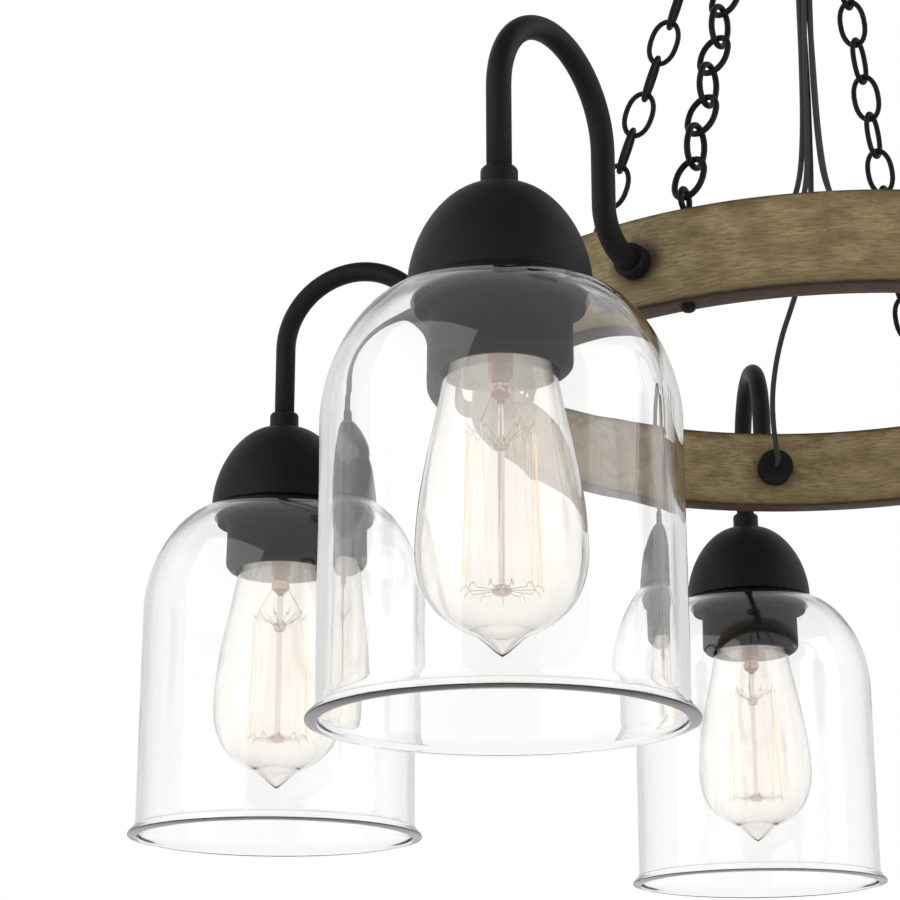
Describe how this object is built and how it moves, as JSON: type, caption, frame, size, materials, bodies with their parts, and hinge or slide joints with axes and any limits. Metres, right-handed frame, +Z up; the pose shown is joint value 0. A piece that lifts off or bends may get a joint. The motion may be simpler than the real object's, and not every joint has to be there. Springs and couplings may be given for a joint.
{
  "type": "ring chandelier",
  "caption": "Wood-look ring chandelier hung on chains, with black gooseneck arms, clear bell glass shades and screw-in filament bulbs under a ceiling canopy.",
  "frame": {"origin": "centre of the ceiling face, on top of the mounting strap", "axes": "+Z up to the ceiling, -Y towards the first light, X along the mounting strap"},
  "size_m": [0.6654, 0.6399, 0.8129],
  "materials": {
    "black_metal": "matte powder coat",
    "ring_wood": "weathered wood look, matt",
    "shade_glass": "clear",
    "bulb_clear": "clear",
    "filament_parts": "clear stem with warm filament wires",
    "base_brass": "satin",
    "socket_body": "matt",
    "zinc_steel": "zinc plated",
    "lead_cover": "matt insulation"
  },
  "bodies": {
    "canopy_body": {"mounting_strap": "zinc_steel", "nipple": "zinc_steel", "lock_nut": "zinc_steel", "canopy": "black_metal", "canopy_collar": "black_metal", "canopy_loop": "black_metal"},
    "suspension_chain": {"main_chain": "black_metal"},
    "fixture": {"arm_1": "black_metal", "arm_2": "black_metal", "arm_3": "black_metal", "arm_4": "black_metal", "arm_5": "black_metal", "arm_flanges": "black_metal", "arm_nuts": "black_metal", "cap_1": "black_metal", "cap_2": "black_metal", "cap_3": "black_metal", "cap_4": "black_metal", "cap_5": "black_metal", "collars": "black_metal", "eye_bolts": "black_metal", "eye_nuts": "black_metal", "hub": "black_metal", "hub_eyes": "black_metal", "hub_loop": "black_metal", "lead_wires": "lead_cover", "ring_band": "ring_wood", "ring_chain_1": "black_metal", "ring_chain_2": "black_metal", "ring_chain_3": "black_metal", "ring_chain_4": "black_metal", "shade_1": "shade_glass", "shade_2": "shade_glass", "shade_3": "shade_glass", "shade_4": "shade_glass", "shade_5": "shade_glass", "socket_cup_1": "black_metal", "socket_cup_2": "black_metal", "socket_cup_3": "black_metal", "socket_cup_4": "black_metal", "socket_cup_5": "black_metal", "sockets": "socket_body"},
    "bulb_1": {"bulb_base_1": "base_brass", "bulb_glass_1": "bulb_clear", "filament_1": "filament_parts"},
    "bulb_2": {"bulb_base_2": "base_brass", "bulb_glass_2": "bulb_clear", "filament_2": "filament_parts"},
    "bulb_3": {"bulb_base_3": "base_brass", "bulb_glass_3": "bulb_clear", "filament_3": "filament_parts"},
    "bulb_4": {"bulb_base_4": "base_brass", "bulb_glass_4": "bulb_clear", "filament_4": "filament_parts"},
    "bulb_5": {"bulb_base_5": "base_brass", "bulb_glass_5": "bulb_clear", "filament_5": "filament_parts"}
  },
  "joints": [
    {"name": "chain_swing", "type": "hinge", "parent": "canopy_body", "child": "suspension_chain", "pos_m": [0, 0, -0.0642], "axis": [1, 0, 0], "range_deg": [-20, 20]},
    {"name": "fixture_swing", "type": "hinge", "parent": "suspension_chain", "child": "fixture", "pos_m": [0, 0, -0.2199], "axis": [0, 1, 0], "range_deg": [-20, 20]},
    {"name": "bulb_1_turn", "type": "hinge", "parent": "fixture", "child": "bulb_1", "pos_m": [0, -0.275, -0.66395], "axis": [0, 0, -1], "range_deg": [0, 1080]},
    {"name": "bulb_2_turn", "type": "hinge", "parent": "fixture", "child": "bulb_2", "pos_m": [0.26154, -0.08498, -0.66395], "axis": [0, 0, -1], "range_deg": [0, 1080]},
    {"name": "bulb_3_turn", "type": "hinge", "parent": "fixture", "child": "bulb_3", "pos_m": [0.16164, 0.22248, -0.66395], "axis": [0, 0, -1], "range_deg": [0, 1080]},
    {"name": "bulb_4_turn", "type": "hinge", "parent": "fixture", "child": "bulb_4", "pos_m": [-0.16164, 0.22248, -0.66395], "axis": [0, 0, -1], "range_deg": [0, 1080]},
    {"name": "bulb_5_turn", "type": "hinge", "parent": "fixture", "child": "bulb_5", "pos_m": [-0.26154, -0.08498, -0.66395], "axis": [0, 0, -1], "range_deg": [0, 1080]}
  ]
}
